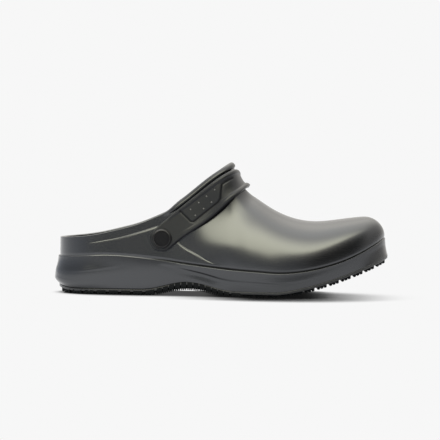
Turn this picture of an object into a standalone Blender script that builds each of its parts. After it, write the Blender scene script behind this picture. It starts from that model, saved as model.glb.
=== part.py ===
"""Slip-resistant work clog for the right foot: moulded foam shell, rubber outsole, insole, heel strap and rivets.

The toe points along +X, the medial side lies at +Y and the floor is z = 0. Tables are in millimetres.
"""

import math
from bisect import bisect_right
from collections import namedtuple

import bmesh
import bpy
import numpy as np
from mathutils import Vector

for old in list(bpy.data.objects):
    bpy.data.objects.remove(old)

MM = 0.001

# Driving dimensions, in millimetres
HEEL_X = -141.4
LAST_LENGTH = 282.6
WALL = 4.5
GAP = 0.3
NOSE_LENGTH = 20.0
NOSE_POWER = 2.5
CUP_ROUNDING = 10.0
CUP_SQUARENESS = 0.45
APEX = 0.53
OUTSOLE_DEPTH = 5.0
PLATE_DEPTH = 1.8
INSOLE_DEPTH = 3.5
INSOLE_END_SHARE = 0.018
INSOLE_EDGE_GAP = 0.45

# Rows along the last: share of length, plan fullness, centre line, top of the sole wall, footbed,
# crown of the arch over the foot, squareness of that arch, medial shift of its ridge, inward lean
Section = namedtuple("Section", "along fullness centre line footbed crown square ridge lean")
SECTIONS = [
    Section(0.000, 69.0, -0.7, 31.2, 20.5, 440.0, 0.30, 0.0, 0.10),
    Section(0.050, 63.5, -0.7, 32.6, 20.3, 410.0, 0.30, 0.0, 0.10),
    Section(0.130, 52.0, -0.9, 34.2, 20.0, 360.0, 0.30, 0.0, 0.10),
    Section(0.260, 41.9, -1.5, 32.3, 19.5, 282.0, 0.27, 0.5, 0.09),
    Section(0.400, 38.2, -3.3, 26.9, 18.6, 198.0, 0.17, 1.5, 0.06),
    Section(0.500, 41.8, -3.5, 23.8, 17.0, 136.0, 0.08, 2.5, 0.02),
    Section(0.530, 43.8, -3.3, 23.0, 16.2, 112.8, 0.07, 2.8, 0.00),
    Section(0.545, 45.0, -3.1, 22.7, 15.7, 101.4, 0.08, 2.9, 0.00),
    Section(0.560, 46.3, -2.9, 22.4, 15.2, 94.0, 0.09, 3.0, 0.00),
    Section(0.580, 48.1, -2.6, 22.1, 14.6, 88.0, 0.11, 3.1, 0.00),
    Section(0.600, 50.0, -2.3, 21.8, 14.0, 84.0, 0.13, 3.2, 0.00),
    Section(0.650, 54.8, -1.5, 21.4, 12.9, 75.4, 0.18, 3.4, 0.00),
    Section(0.720, 60.2, -0.3, 22.4, 14.4, 67.0, 0.22, 3.2, 0.00),
    Section(0.790, 64.8, 1.1, 26.2, 19.5, 64.5, 0.25, 2.8, 0.00),
    Section(0.860, 68.4, 2.8, 32.3, 26.0, 66.6, 0.28, 2.0, 0.00),
    Section(0.920, 71.8, 4.4, 39.2, 32.0, 68.8, 0.29, 1.2, 0.00),
    Section(1.000, 77.0, 6.3, 50.8, 43.0, 70.0, 0.30, 0.0, 0.00),
]

# Collar edge seen from the side: share of length and height
Collar = namedtuple("Collar", "along height")
COLLAR = [
    Collar(0.00, 47.6),
    Collar(0.06, 48.8),
    Collar(0.12, 51.2),
    Collar(0.18, 55.2),
    Collar(0.24, 60.0),
    Collar(0.30, 66.2),
    Collar(0.35, 74.8),
    Collar(0.40, 87.2),
    Collar(0.46, 101.2),
    Collar(0.53, 112.8),
]

# Sole wall below the line: share of the drop to the outsole, and how far the wall stands out there
Wall = namedtuple("Wall", "drop heel waist ball toe")
SOLE_WALL = [
    Wall(1.00, 1.0, -2.2, 1.2, 3.5),
    Wall(0.82, 2.8, -0.9, 1.8, 3.1),
    Wall(0.58, 3.3, 0.6, 2.2, 2.4),
    Wall(0.30, 1.9, 1.2, 2.0, 1.6),
    Wall(0.05, 1.3, 1.0, 1.3, 0.9),
]
WALL_STATIONS = (0.0, 0.42, 0.70, 1.0)

# Lift of the tread off the floor, in millimetres along the shoe
HEEL_FLAT_START = -126.0
HEEL_BEVEL = 0.0098
ARCH_CENTRE = -29.0
ARCH_HALF_SPAN = 40.0
ARCH_LIFT = 6.9
TOE_SPRING_START = 45.0
TOE_SPRING_RATE = 0.0491
TOE_SPRING_POWER = 1.4

# Lugs: rows along the shoe, with channels between the blocks
LUG_PITCH = 10.5
LUG_CHANNEL = 1.6
LUG_COLUMN_WIDTH = 17.0
LUG_COLUMN_CHANNEL = 2.6
LUG_EDGE_INSET = 2.0
LUG_ROOT = 0.6

# Heel strap, turned forward over the instep and pinned at each side
RIVET_X = -51.6
RIVET_Z = 48.4
STRAP_SLOPE = math.radians(39.7)
STRAP_STANDOFF = 0.7
STRAP_DEPTH = 3.0
STRAP_LONGEST_REACH = 120.0
# Rows along the strap from the rivet to the top of the instep: shift and half width
Strap = namedtuple("Strap", "along shift half_width")
STRAP_ROWS = [
    Strap(0.00, 0.0, 10.2),
    Strap(0.15, -0.3, 10.6),
    Strap(0.28, 0.7, 11.5),
    Strap(0.60, 0.9, 11.5),
    Strap(0.85, 1.7, 11.1),
    Strap(1.00, 3.4, 10.6),
]

# Rivet, turned about its own axis
SHANK_RADIUS = 3.0
HOLE_RADIUS = 3.3
HEAD_RADIUS = 8.4
HEAD_DEPTH = 2.6
HEAD_CHAMFER = 0.8
FLANGE_RADIUS = 6.5
FLANGE_DEPTH = 1.6
BADGE_RADIUS = 6.6
BADGE_DEPTH = 0.9
BADGE_DOME = 0.5

# Mesh fineness
REAR_STATIONS = 22
FRONT_STATIONS = 20
ARCH_STEPS = 9
CUP_STEPS = 5
INSOLE_FIRST_STEP = 2
STRAP_STEPS = 14
STRAP_COLUMNS = 6
TURN_STEPS = 24

LATERAL = -1
MEDIAL = 1
SIDES = (LATERAL, MEDIAL)
STEP = 1e-4
WELD = 1e-6
SHARP_ANGLE = math.radians(40)


def smooth_curve(knots, values):
    """A natural cubic spline through the given values, as a function."""
    knots = [float(k) for k in knots]
    values = [float(v) for v in values]
    count = len(knots)
    gaps = [knots[i + 1] - knots[i] for i in range(count - 1)]
    matrix = np.eye(count)
    right = np.zeros(count)
    for i in range(1, count - 1):
        matrix[i, i - 1 : i + 2] = gaps[i - 1], 2 * (gaps[i - 1] + gaps[i]), gaps[i]
        after = (values[i + 1] - values[i]) / gaps[i]
        before = (values[i] - values[i - 1]) / gaps[i - 1]
        right[i] = 6 * (after - before)
    bend = np.linalg.solve(matrix, right)

    def at(where):
        i = min(max(bisect_right(knots, where) - 1, 0), count - 2)
        a = (knots[i + 1] - where) / gaps[i]
        b = 1 - a
        curl = (a**3 - a) * bend[i] + (b**3 - b) * bend[i + 1]
        return a * values[i] + b * values[i + 1] + curl * gaps[i] ** 2 / 6

    return at


def column(rows, name):
    """The named column of a table as a smooth function of its first column."""
    return smooth_curve([row[0] for row in rows], [getattr(row, name) for row in rows])


fullness_at = column(SECTIONS, "fullness")
centre_at = column(SECTIONS, "centre")
line_at = column(SECTIONS, "line")
footbed_at = column(SECTIONS, "footbed")
crown_at = column(SECTIONS, "crown")
square_at = column(SECTIONS, "square")
ridge_at = column(SECTIONS, "ridge")
lean_at = column(SECTIONS, "lean")
collar_at = column(COLLAR, "height")
strap_shift_at = column(STRAP_ROWS, "shift")
strap_half_width_at = column(STRAP_ROWS, "half_width")
wall_out_at = [smooth_curve(WALL_STATIONS, row[1:]) for row in SOLE_WALL]


def solve(function, low, high, target):
    """Where a rising function meets the target, by halving."""
    for _ in range(48):
        middle = (low + high) / 2
        if function(middle) < target:
            low = middle
        else:
            high = middle
    return (low + high) / 2


def share(turn):
    """Share of the last's length at a turn from 0 at the heel to pi at the toe."""
    return (1 - math.cos(turn)) / 2


def turn_at(along):
    """The turn at a share of the last's length."""
    return math.acos(min(1.0, max(-1.0, 1 - 2 * along)))


def length_at(along):
    """Distance along the shoe, from the origin, at a share of the last's length."""
    return HEEL_X + LAST_LENGTH * along


def outline(turn, side):
    """The last's plan outline at the line where upper and sole wall meet."""
    along = share(turn)
    return length_at(along), centre_at(along) + side * fullness_at(along) * math.sin(turn)


def outward(turn, side):
    """Plan direction that points out of the outline."""
    before = outline(turn - STEP, side)
    after = outline(turn + STEP, side)
    dx = after[0] - before[0]
    dy = after[1] - before[1]
    size = math.hypot(dx, dy)
    return -side * dy / size, side * dx / size


def top_at(along):
    """Height of the arch's ridge, rounded down to the line over the nose of the toe."""
    past = (length_at(along) - length_at(1) + NOSE_LENGTH) / NOSE_LENGTH
    rounding = math.sqrt(max(0.0, 1 - max(0.0, past) ** NOSE_POWER))
    return line_at(along) + (crown_at(along) - line_at(along)) * rounding


def arch_height(along, lift):
    """Height on the arch at an angle from 0 at the line to half a right turn at the ridge."""
    square = square_at(along)
    rise = math.sin(lift) * (1 + square * math.cos(lift) ** 2)
    return line_at(along) + (top_at(along) - line_at(along)) * rise


def upper_point(turn, lift, side):
    """A point of the outer surface of the upper."""
    along = share(turn)
    square = square_at(along)
    z = arch_height(along, lift)
    reach = math.cos(lift) * (1 + square * math.sin(lift) ** 2)
    half = fullness_at(along) * math.sin(turn) * reach
    half -= lean_at(along) * (z - line_at(along)) * math.sin(turn) * math.cos(lift)
    y = centre_at(along) + ridge_at(along) * math.sin(lift) ** 2 + side * half
    return Vector((length_at(along), y, z))


def upper_normal(turn, lift, side):
    """Unit direction out of the upper's outer surface."""
    if math.sin(turn) < STEP and turn > 1:
        return Vector((1, 0, 0))
    across = upper_point(turn + STEP, lift, side) - upper_point(turn - STEP, lift, side)
    up = upper_point(turn, lift + STEP, side) - upper_point(turn, lift - STEP, side)
    return (across.cross(up) * -side).normalized()


def lift_at_height(along, z):
    """The arch angle at which a section reaches a height."""
    return solve(lambda lift: arch_height(along, lift), 0.0, math.pi / 2, z)


def tread_lift(x):
    """Height of the tread off the floor: heel bevel, arch and toe spring."""
    if x < HEEL_FLAT_START:
        return HEEL_BEVEL * (HEEL_FLAT_START - x) ** 2
    if x > TOE_SPRING_START:
        return TOE_SPRING_RATE * (x - TOE_SPRING_START) ** TOE_SPRING_POWER
    offset = abs(x - ARCH_CENTRE) / ARCH_HALF_SPAN
    return ARCH_LIFT * (1 + math.cos(math.pi * offset)) / 2 if offset < 1 else 0.0


def shell_bottom(x):
    """Height of the shell's underside."""
    return tread_lift(x) + OUTSOLE_DEPTH


def wall_point(turn, side, level):
    """A point of the sole wall, level 0 being its bottom edge."""
    x, y = outline(turn, side)
    nx, ny = outward(turn, side)
    out = wall_out_at[level](share(turn))
    x += nx * out
    y += ny * out
    line = line_at(share(turn))
    bottom = shell_bottom(x)
    return Vector((x, y, line + (bottom - line) * SOLE_WALL[level].drop))


def stations():
    """Turns from heel to toe, close together at both ends and at the throat's apex."""
    rear = [APEX * share(math.pi * i / REAR_STATIONS) for i in range(REAR_STATIONS)]
    front = [
        APEX + (1 - APEX) * share(math.pi * i / FRONT_STATIONS) for i in range(FRONT_STATIONS + 1)
    ]
    return [turn_at(along) for along in rear + front]


TURNS = stations()


def outer_chain(turn, side):
    """Shell outside at one section: underside, sole wall, then up the arch to the collar or ridge."""
    edge = wall_point(turn, side, 0)
    middle = (edge + wall_point(turn, -side, 0)) / 2
    chain = []
    for part in (0.0, 0.5):
        point = middle.lerp(edge, part)
        point.z = shell_bottom(point.x)
        chain.append(point)
    chain += [wall_point(turn, side, level) for level in range(len(SOLE_WALL))]
    top = top_lift(turn)
    chain += [upper_point(turn, top * i / ARCH_STEPS, side) for i in range(ARCH_STEPS + 1)]
    return chain


def top_lift(turn):
    """Arch angle where a section ends: at the collar behind the throat, at the ridge before it."""
    along = share(turn)
    if along >= APEX - 1e-9:
        return math.pi / 2
    return lift_at_height(along, collar_at(along))


def inner_point(turn, lift, side):
    """A point of the upper's inner surface, one wall in from the outer one."""
    return upper_point(turn, lift, side) - upper_normal(turn, lift, side) * WALL


def cup_depth(turn):
    """Depth of the footbed below the line, rounded up to nothing at the heel and the toe."""
    along = share(turn)
    reach = min(along, 1 - along) * LAST_LENGTH
    part = min(1.0, reach / CUP_ROUNDING)
    return (line_at(along) - footbed_at(along)) * math.sqrt(1 - (1 - part) ** 2)


def cup_point(turn, side, sweep, raised=0.0, inset=0.0):
    """A point of the footbed, from a sweep of 0 at the wall to half a right turn at the middle."""
    wall = inner_point(turn, 0.0, side)
    middle = (wall + inner_point(turn, 0.0, -side)) / 2
    reach = math.cos(sweep) * (1 + CUP_SQUARENESS * math.sin(sweep) ** 2)
    fall = math.sin(sweep) * (1 + CUP_SQUARENESS * math.cos(sweep) ** 2)
    span = (wall - middle).length
    keep = max(0.0, span - inset) / span if span > STEP else 0.0
    point = middle + (wall - middle) * reach * keep
    point.z = line_at(share(turn)) - cup_depth(turn) * fall + raised
    return point


def inner_chain(turn, side):
    """Shell inside at one section: from the collar or ridge down the wall, then over the footbed."""
    top = top_lift(turn)
    chain = [inner_point(turn, top * i / ARCH_STEPS, side) for i in range(ARCH_STEPS, -1, -1)]
    sweeps = [math.pi / 2 * i / CUP_STEPS for i in range(1, CUP_STEPS + 1)]
    return chain + [cup_point(turn, side, sweep) for sweep in sweeps]


def add_sheet(mesh, rows):
    """Adds a grid of faces through rows of points, in millimetres."""
    grid = [[mesh.verts.new(point * MM) for point in row] for row in rows]
    for a, b in zip(grid, grid[1:]):
        for i in range(len(a) - 1):
            mesh.faces.new((a[i], a[i + 1], b[i + 1], b[i]))


def finish(name, mesh, material):
    """Welds the sheets into one closed body with its faces pointing out, and makes it an object."""
    bmesh.ops.remove_doubles(mesh, verts=mesh.verts, dist=WELD)
    bmesh.ops.dissolve_degenerate(mesh, edges=mesh.edges, dist=WELD)
    bmesh.ops.triangulate(mesh, faces=mesh.faces)
    bmesh.ops.recalc_face_normals(mesh, faces=mesh.faces)
    data = bpy.data.meshes.new(name)
    mesh.to_mesh(data)
    mesh.free()
    data.shade_smooth()
    data.set_sharp_from_angle(angle=SHARP_ANGLE)
    data.materials.append(material)
    thing = bpy.data.objects.new(name, data)
    bpy.context.scene.collection.objects.link(thing)
    return thing


def make_material(name, colour, roughness, metallic=0.0):
    """A plain surface finish."""
    material = bpy.data.materials.new(name)
    material.use_nodes = True
    shader = material.node_tree.nodes["Principled BSDF"]
    shader.inputs["Base Color"].default_value = (*colour, 1.0)
    shader.inputs["Roughness"].default_value = roughness
    shader.inputs["Metallic"].default_value = metallic
    return material


def make_shell(material):
    """Upper and midsole, moulded in one piece of foam and open at the collar."""
    mesh = bmesh.new()
    behind = [turn for turn in TURNS if share(turn) <= APEX + 1e-9]
    for side in SIDES:
        add_sheet(mesh, [outer_chain(turn, side) for turn in TURNS])
        add_sheet(mesh, [inner_chain(turn, side) for turn in TURNS])
        add_sheet(mesh, [(outer_chain(t, side)[-1], inner_chain(t, side)[0]) for t in behind])
    return finish("shell", mesh, material)


def plate_chain(turn, side, depth):
    """Points of the outsole plate from the middle to its edge, at a depth below the shell."""
    edge = wall_point(turn, side, 0)
    middle = (edge + wall_point(turn, -side, 0)) / 2
    chain = []
    for part in (0.0, 0.5, 1.0):
        point = middle.lerp(edge, part)
        point.z = shell_bottom(point.x) - depth
        chain.append(point)
    return chain


def edge_width(x, side):
    """Where the outsole's edge lies at a distance along the shoe."""
    turn = solve(lambda t: wall_point(t, side, 0).x, 0.0, math.pi, x)
    return wall_point(turn, side, 0).y - side * LUG_EDGE_INSET


def lug_blocks():
    """Corners of each lug's footprint, row by row from heel to toe."""
    first = wall_point(0.0, LATERAL, 0).x + LUG_EDGE_INSET
    last = wall_point(math.pi, LATERAL, 0).x - LUG_EDGE_INSET
    count = round((last - first) / LUG_PITCH)
    pitch = (last - first) / count
    blocks = []
    for row in range(count):
        rear = first + row * pitch + LUG_CHANNEL / 2
        front = rear + pitch - LUG_CHANNEL
        widths = [[edge_width(x, side) for side in SIDES] for x in (rear, front)]
        narrow = min(right - left for left, right in widths)
        columns = max(2, round(narrow / LUG_COLUMN_WIDTH))
        for i in range(columns):
            corners = []
            for x, (left, right) in zip((rear, front), widths):
                cell = (right - left) / columns
                low = left + cell * i + (LUG_COLUMN_CHANNEL / 2 if i else 0.0)
                high = left + cell * (i + 1) - (LUG_COLUMN_CHANNEL / 2 if i < columns - 1 else 0.0)
                corners.append((Vector((x, low, 0)), Vector((x, high, 0))))
            blocks.append(corners)
    return blocks


def make_lugs():
    """The lug blocks as separate prisms whose roots lie inside the plate."""
    mesh = bmesh.new()
    for (rear_low, rear_high), (front_low, front_high) in lug_blocks():
        footprint = [rear_low, rear_high, front_high, front_low]
        rings = []
        for depth in (PLATE_DEPTH + GAP - LUG_ROOT, OUTSOLE_DEPTH):
            ring = []
            for corner in footprint:
                height = shell_bottom(corner.x) - depth
                ring.append(mesh.verts.new(Vector((corner.x, corner.y, height)) * MM))
            rings.append(ring)
        root, tread = rings
        mesh.faces.new(root)
        mesh.faces.new(tread[::-1])
        for i in range(4):
            j = (i + 1) % 4
            mesh.faces.new((root[i], tread[i], tread[j], root[j]))
    return mesh


def hide_cutter(thing):
    """Marks an object as a tool for a Boolean and not a piece."""
    thing.hide_render = True
    thing.display_type = "WIRE"


def add_boolean(thing, tool, operation):
    """Joins a tool to an object, or cuts it away."""
    modifier = thing.modifiers.new(operation.lower(), "BOOLEAN")
    modifier.operation = operation
    modifier.object = tool
    hide_cutter(tool)


def make_outsole(material):
    """Rubber plate under the whole shell, with rows of lugs on its underside."""
    mesh = bmesh.new()
    for side in SIDES:
        upper = [plate_chain(turn, side, GAP) for turn in TURNS]
        lower = [plate_chain(turn, side, GAP + PLATE_DEPTH) for turn in TURNS]
        add_sheet(mesh, upper)
        add_sheet(mesh, lower)
        add_sheet(mesh, [(a[-1], b[-1]) for a, b in zip(upper, lower)])
    plate = finish("outsole", mesh, material)
    lugs = finish("lug_tool", make_lugs(), material)
    add_boolean(plate, lugs, "UNION")
    return plate


def make_insole(material):
    """Footbed liner that lies loose in the shell, tapering to a thin edge at the walls."""
    mesh = bmesh.new()
    sweeps = [math.pi / 2 * i / CUP_STEPS for i in range(INSOLE_FIRST_STEP, CUP_STEPS + 1)]
    turns = [turn for turn in TURNS if INSOLE_END_SHARE < share(turn) < 1 - INSOLE_END_SHARE]
    for side in SIDES:
        under = []
        over = []
        for turn in turns:
            for sheet, raised in ((under, GAP), (over, GAP + INSOLE_DEPTH)):
                sheet.append([cup_point(turn, side, sweep, raised, INSOLE_EDGE_GAP) for sweep in sweeps])
        add_sheet(mesh, under)
        add_sheet(mesh, over)
        add_sheet(mesh, [(a[0], b[0]) for a, b in zip(under, over)])
        add_sheet(mesh, [list(under[0]), list(over[0])])
        add_sheet(mesh, [list(under[-1]), list(over[-1])])
    return finish("insole", mesh, material)


def strap_spot(shift, reach):
    """Side-view place of a strap point: its shift across the strap and its reach along it."""
    x = RIVET_X + reach * math.cos(STRAP_SLOPE) + shift * math.sin(STRAP_SLOPE)
    z = RIVET_Z + reach * math.sin(STRAP_SLOPE) - shift * math.cos(STRAP_SLOPE)
    return x, z


def along_at(x):
    """Share of the last's length at a distance along the shoe."""
    return (x - HEEL_X) / LAST_LENGTH


def strap_reach_to_top(shift):
    """Reach along the strap at which it crosses the instep's ridge."""

    def above_ridge(reach):
        x, z = strap_spot(shift, reach)
        return z - top_at(along_at(x))

    return solve(above_ridge, 0.0, STRAP_LONGEST_REACH, 0.0)


def strap_point(part, across, side, standoff):
    """A point of the strap: part of the way from rivet to instep, and across from -1 to 1."""
    start = -strap_half_width_at(0.0) * math.sqrt(max(0.0, 1 - across**2))
    shift = strap_shift_at(part) + across * strap_half_width_at(part)
    top = strap_reach_to_top(shift)
    reach = start + (top - start) * math.sin(part * math.pi / 2)
    x, z = strap_spot(shift, reach)
    along = along_at(x)
    lift = math.pi / 2 if part == 1.0 else lift_at_height(along, z)
    turn = turn_at(along)
    return upper_point(turn, lift, side) + upper_normal(turn, lift, side) * standoff


def strap_rows(standoff):
    """Rows of strap points from the lateral end over the instep to the medial end."""
    acrosses = [-1 + 2 * i / STRAP_COLUMNS for i in range(STRAP_COLUMNS + 1)]
    parts = [i / STRAP_STEPS for i in range(STRAP_STEPS + 1)]
    lateral = [[strap_point(part, across, LATERAL, standoff) for across in acrosses] for part in parts]
    medial = [[strap_point(part, across, MEDIAL, standoff) for across in acrosses] for part in parts]
    return lateral + medial[-2::-1]


def make_strap(material):
    """Foam heel strap, one band with round ends."""
    mesh = bmesh.new()
    under = strap_rows(STRAP_STANDOFF)
    over = strap_rows(STRAP_STANDOFF + STRAP_DEPTH)
    add_sheet(mesh, under)
    add_sheet(mesh, over)
    for edge in (0, -1):
        add_sheet(mesh, [(a[edge], b[edge]) for a, b in zip(under, over)])
        add_sheet(mesh, [under[edge], over[edge]])
    return finish("heel_strap", mesh, material)


def rivet_frame(side):
    """Place on the upper's outer surface where a rivet passes through, and its outward axis."""
    along = along_at(RIVET_X)
    turn = turn_at(along)
    lift = lift_at_height(along, RIVET_Z)
    return upper_point(turn, lift, side), upper_normal(turn, lift, side)


def place_on_rivet(thing, side):
    """Stands an object's own Z axis on the rivet's axis."""
    spot, axis = rivet_frame(side)
    thing.location = spot * MM
    thing.rotation_mode = "QUATERNION"
    thing.rotation_quaternion = axis.to_track_quat("Z", "Y")


def turned(name, profile, material):
    """A solid turned from a profile of radius and height, listed from its top to its bottom."""
    mesh = bmesh.new()
    rings = []
    for i in range(TURN_STEPS + 1):
        angle = 2 * math.pi * (i % TURN_STEPS) / TURN_STEPS
        rings.append([Vector((r * math.cos(angle), r * math.sin(angle), z)) for r, z in profile])
    add_sheet(mesh, rings)
    return finish(name, mesh, material)


def rivet_profile():
    """Half section of a rivet: head with a seat for its badge, shank, and flange inside the shoe."""
    seat = STRAP_STANDOFF + STRAP_DEPTH + GAP
    head = seat + HEAD_DEPTH
    back = -WALL - GAP
    floor = head - BADGE_DEPTH
    return [
        (0.0, floor),
        (BADGE_RADIUS + GAP, floor),
        (BADGE_RADIUS + GAP, head),
        (HEAD_RADIUS - HEAD_CHAMFER, head),
        (HEAD_RADIUS, head - HEAD_CHAMFER),
        (HEAD_RADIUS, seat),
        (SHANK_RADIUS, seat),
        (SHANK_RADIUS, back),
        (FLANGE_RADIUS, back),
        (FLANGE_RADIUS, back - FLANGE_DEPTH),
        (0.0, back - FLANGE_DEPTH),
    ]


def badge_profile():
    """Half section of the plain domed disc that sits in a rivet's head."""
    base = STRAP_STANDOFF + STRAP_DEPTH + GAP + HEAD_DEPTH - BADGE_DEPTH + GAP
    rim = base + BADGE_DEPTH - GAP
    return [
        (0.0, rim + BADGE_DOME),
        (BADGE_RADIUS * 0.5, rim + BADGE_DOME * 0.75),
        (BADGE_RADIUS, rim),
        (BADGE_RADIUS, base),
        (0.0, base),
    ]


def hole_profile():
    """Half section of the drill for a rivet's shank."""
    reach = WALL + STRAP_STANDOFF + STRAP_DEPTH + HEAD_DEPTH
    return [(0.0, reach), (HOLE_RADIUS, reach), (HOLE_RADIUS, -reach), (0.0, -reach)]


def main():
    foam = make_material("foam", (0.045, 0.047, 0.05), 0.42)
    rubber = make_material("rubber", (0.018, 0.018, 0.02), 0.7)
    liner = make_material("liner", (0.03, 0.03, 0.032), 0.9)
    plastic = make_material("plastic", (0.03, 0.031, 0.033), 0.35)
    gloss = make_material("gloss", (0.012, 0.012, 0.013), 0.12)
    shell = make_shell(foam)
    make_outsole(rubber)
    make_insole(liner)
    strap = make_strap(foam)
    for side, word in ((LATERAL, "lateral"), (MEDIAL, "medial")):
        rivet = turned("rivet_" + word, rivet_profile(), plastic)
        badge = turned("badge_" + word, badge_profile(), gloss)
        drill = turned("drill_" + word, hole_profile(), plastic)
        for thing in (rivet, badge, drill):
            place_on_rivet(thing, side)
        add_boolean(shell, drill, "DIFFERENCE")
        add_boolean(strap, drill, "DIFFERENCE")


main()
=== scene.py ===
"""Looks of the right-foot work clog: foam shell and strap, rubber outsole, liner, rivets and badges.

The toe points along +X, the medial side lies at +Y and the floor is z = 0. Tables are in millimetres.
"""

import math

import bpy
import numpy as np
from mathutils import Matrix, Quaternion, Vector


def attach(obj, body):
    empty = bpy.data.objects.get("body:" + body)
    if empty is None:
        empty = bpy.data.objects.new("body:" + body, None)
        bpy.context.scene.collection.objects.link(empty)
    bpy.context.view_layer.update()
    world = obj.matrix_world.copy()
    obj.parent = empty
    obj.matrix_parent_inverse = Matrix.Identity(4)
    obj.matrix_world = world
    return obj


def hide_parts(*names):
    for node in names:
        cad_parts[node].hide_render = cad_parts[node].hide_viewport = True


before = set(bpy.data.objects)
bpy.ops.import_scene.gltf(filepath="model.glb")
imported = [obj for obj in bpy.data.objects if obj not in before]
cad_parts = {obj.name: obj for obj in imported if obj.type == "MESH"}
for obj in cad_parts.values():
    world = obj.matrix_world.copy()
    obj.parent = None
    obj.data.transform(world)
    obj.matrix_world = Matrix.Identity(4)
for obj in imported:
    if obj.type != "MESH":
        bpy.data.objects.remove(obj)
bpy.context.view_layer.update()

# Shell: upper and midsole of the clog, moulded in one go from black foam with a satin skin.
# The mould gives it a proud quarter panel, a groove round the top of the sole wall, a tuck
# in that wall at the waist, and a rolled rim round the throat.
MM = 0.001
HEEL_X = -141.4
LAST_LENGTH = 282.6
WALL = 4.5
GAP = 0.3
NOSE_LENGTH = 20.0
NOSE_POWER = 2.5
CUP_ROUNDING = 10.0
CUP_SQUARENESS = 0.45
APEX = 0.53
OUTSOLE_DEPTH = 5.0
LATERAL = -1
MEDIAL = 1
SIDES = (LATERAL, MEDIAL)
STEP = 1e-4
WELD = 2e-6
HALVINGS = 44

# Tread seen from the side: heel bevel, arch and toe spring
HEEL_FLAT_START = -126.0
HEEL_BEVEL = 0.0098
ARCH_CENTRE = -29.0
ARCH_HALF_SPAN = 40.0
ARCH_LIFT = 6.9
TOE_SPRING_START = 45.0
TOE_SPRING_RATE = 0.0491
TOE_SPRING_POWER = 1.4

# Rows along the last: share of length, plan fullness, centre line, top of the sole wall, footbed,
# crown of the arch over the foot, squareness of that arch, medial shift of its ridge, inward lean
SECTIONS = [
    (0.000, 69.0, -0.7, 32.2, 20.5, 440.0, 0.30, 0.0, 0.10),
    (0.050, 63.5, -0.7, 32.6, 20.3, 410.0, 0.30, 0.0, 0.10),
    (0.130, 52.0, -0.9, 34.2, 20.0, 360.0, 0.30, 0.0, 0.10),
    (0.260, 41.9, -1.5, 32.3, 19.5, 282.0, 0.27, 0.5, 0.09),
    (0.400, 38.2, -3.3, 26.9, 18.6, 198.0, 0.20, 1.5, 0.06),
    (0.500, 41.8, -3.5, 23.8, 17.0, 136.0, 0.18, 2.5, 0.02),
    (0.530, 43.8, -3.3, 23.0, 16.2, 111.6, 0.18, 2.8, 0.00),
    (0.545, 45.0, -3.1, 22.7, 15.7, 100.7, 0.18, 2.9, 0.00),
    (0.560, 46.3, -2.9, 22.4, 15.2, 94.0, 0.18, 3.0, 0.00),
    (0.580, 48.1, -2.6, 22.1, 14.6, 88.0, 0.18, 3.1, 0.00),
    (0.600, 50.0, -2.3, 21.8, 14.0, 84.0, 0.19, 3.2, 0.00),
    (0.650, 54.8, -1.5, 20.9, 12.9, 74.9, 0.21, 3.4, 0.00),
    (0.720, 60.2, -0.3, 21.7, 14.4, 66.5, 0.23, 3.2, 0.00),
    (0.790, 64.8, 1.1, 25.2, 19.5, 64.0, 0.25, 2.8, 0.00),
    (0.860, 68.4, 2.8, 31.0, 26.0, 66.0, 0.28, 2.0, 0.00),
    (0.920, 71.8, 4.4, 38.3, 32.0, 68.2, 0.29, 1.2, 0.00),
    (1.000, 77.0, 6.3, 50.8, 43.0, 70.0, 0.30, 0.0, 0.00),
]

# Collar edge seen from the side: share of length and height
COLLAR = [
    (0.00, 47.6),
    (0.06, 48.8),
    (0.12, 51.2),
    (0.18, 55.2),
    (0.24, 60.0),
    (0.30, 67.0),
    (0.35, 74.0),
    (0.40, 84.4),
    (0.46, 98.6),
    (0.53, 111.6),
]

# Sole wall below the line: share of the drop to the outsole, and how far the wall stands out there
# at the heel, its side, the quarter, the waist, the ball, the forefoot and the tip
SOLE_WALL = [
    (0.00, 1.4, 0.9, 0.5, 0.3, 0.0, 0.0, 0.6),
    (0.16, 1.7, 1.05, 0.7, 0.2, 0.0, 0.0, 0.8),
    (0.34, 2.5, 1.2, 0.75, 0.0, 0.1, 0.0, 1.0),
    (0.52, 3.6, 1.3, 0.55, -0.4, 0.2, 0.0, 1.4),
    (0.76, 4.3, 0.6, -0.1, -0.95, 0.2, 0.0, 2.1),
    (0.88, 3.9, 0.0, -0.6, -1.3, 0.1, 0.0, 2.5),
    (1.00, 0.3, -0.7, -1.2, -1.7, 0.0, 0.0, 3.0),
]
WALL_STATIONS = (0.0, 0.16, 0.29, 0.42, 0.70, 0.92, 1.0)

# Crease along the sole wall: share of length, share of the drop, and depth of the tuck below it
CREASES = [
    (0.000, 0.50, 0.0),
    (0.200, 0.30, 0.0),
    (0.310, 0.12, 0.0),
    (0.350, 0.16, 0.5),
    (0.403, 0.27, 1.3),
    (0.433, 0.33, 1.5),
    (0.464, 0.39, 1.3),
    (0.494, 0.44, 0.8),
    (0.530, 0.46, 0.3),
    (0.600, 0.48, 0.2),
    (0.750, 0.50, 0.1),
    (1.000, 0.50, 0.0),
]
TUCK_RUN = 1.5
TUCK_FADE = 10.0

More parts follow.
